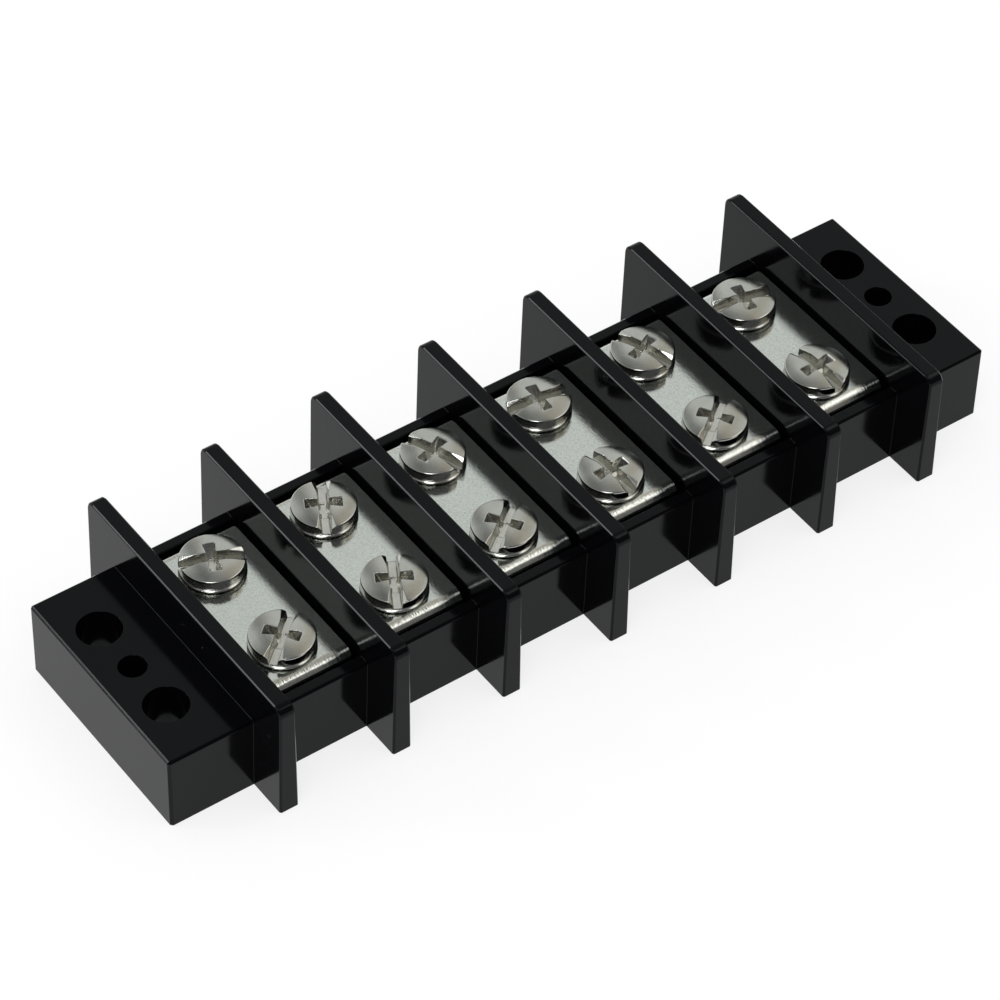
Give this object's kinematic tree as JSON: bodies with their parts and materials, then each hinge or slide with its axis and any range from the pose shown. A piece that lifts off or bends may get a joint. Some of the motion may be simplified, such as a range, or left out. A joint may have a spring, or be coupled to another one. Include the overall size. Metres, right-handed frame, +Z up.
{
  "type": "terminal block",
  "caption": "Black double-row barrier terminal block: bent metal straps between tall barrier plates, paired clamp screws, and a drilled mounting foot at each end.",
  "frame": {"origin": "middle of the underside of the base", "axes": "+X along the row of terminals, +Y across from the front screws to the back screws, +Z up from the mounting face"},
  "size_m": [0.1206, 0.0412, 0.0173],
  "materials": {
    "moulding": "glossy black thermoset moulding",
    "strap_plate": "satin nickel plate over brass",
    "screw_plate": "turned and nickel plated steel"
  },
  "bodies": {
    "root": {"housing": "moulding", "terminal_strap_1": "strap_plate", "terminal_strap_2": "strap_plate", "terminal_strap_3": "strap_plate", "terminal_strap_4": "strap_plate", "terminal_strap_5": "strap_plate", "terminal_strap_6": "strap_plate"},
    "screw_1_back": {"screw_1_back": "screw_plate"},
    "screw_1_front": {"screw_1_front": "screw_plate"},
    "screw_2_back": {"screw_2_back": "screw_plate"},
    "screw_2_front": {"screw_2_front": "screw_plate"},
    "screw_3_back": {"screw_3_back": "screw_plate"},
    "screw_3_front": {"screw_3_front": "screw_plate"},
    "screw_4_back": {"screw_4_back": "screw_plate"},
    "screw_4_front": {"screw_4_front": "screw_plate"},
    "screw_5_back": {"screw_5_back": "screw_plate"},
    "screw_5_front": {"screw_5_front": "screw_plate"},
    "screw_6_back": {"screw_6_back": "screw_plate"},
    "screw_6_front": {"screw_6_front": "screw_plate"}
  },
  "joints": [
    {"name": "screw_1_back_turn", "type": "hinge", "parent": "root", "child": "screw_1_back", "pos_m": [-0.03969, 0.0074, 0.0113], "axis": [0, 0, 1], "range_deg": [0, 1710]},
    {"name": "screw_1_front_turn", "type": "hinge", "parent": "root", "child": "screw_1_front", "pos_m": [-0.03969, -0.0074, 0.0113], "axis": [0, 0, 1], "range_deg": [0, 1710]},
    {"name": "screw_2_back_turn", "type": "hinge", "parent": "root", "child": "screw_2_back", "pos_m": [-0.02381, 0.0074, 0.0113], "axis": [0, 0, 1], "range_deg": [0, 1710]},
    {"name": "screw_2_front_turn", "type": "hinge", "parent": "root", "child": "screw_2_front", "pos_m": [-0.02381, -0.0074, 0.0113], "axis": [0, 0, 1], "range_deg": [0, 1710]},
    {"name": "screw_3_back_turn", "type": "hinge", "parent": "root", "child": "screw_3_back", "pos_m": [-0.00794, 0.0074, 0.0113], "axis": [0, 0, 1], "range_deg": [0, 1710]},
    {"name": "screw_3_front_turn", "type": "hinge", "parent": "root", "child": "screw_3_front", "pos_m": [-0.00794, -0.0074, 0.0113], "axis": [0, 0, 1], "range_deg": [0, 1710]},
    {"name": "screw_4_back_turn", "type": "hinge", "parent": "root", "child": "screw_4_back", "pos_m": [0.00794, 0.0074, 0.0113], "axis": [0, 0, 1], "range_deg": [0, 1710]},
    {"name": "screw_4_front_turn", "type": "hinge", "parent": "root", "child": "screw_4_front", "pos_m": [0.00794, -0.0074, 0.0113], "axis": [0, 0, 1], "range_deg": [0, 1710]},
    {"name": "screw_5_back_turn", "type": "hinge", "parent": "root", "child": "screw_5_back", "pos_m": [0.02381, 0.0074, 0.0113], "axis": [0, 0, 1], "range_deg": [0, 1710]},
    {"name": "screw_5_front_turn", "type": "hinge", "parent": "root", "child": "screw_5_front", "pos_m": [0.02381, -0.0074, 0.0113], "axis": [0, 0, 1], "range_deg": [0, 1710]},
    {"name": "screw_6_back_turn", "type": "hinge", "parent": "root", "child": "screw_6_back", "pos_m": [0.03969, 0.0074, 0.0113], "axis": [0, 0, 1], "range_deg": [0, 1710]},
    {"name": "screw_6_front_turn", "type": "hinge", "parent": "root", "child": "screw_6_front", "pos_m": [0.03969, -0.0074, 0.0113], "axis": [0, 0, 1], "range_deg": [0, 1710]}
  ]
}
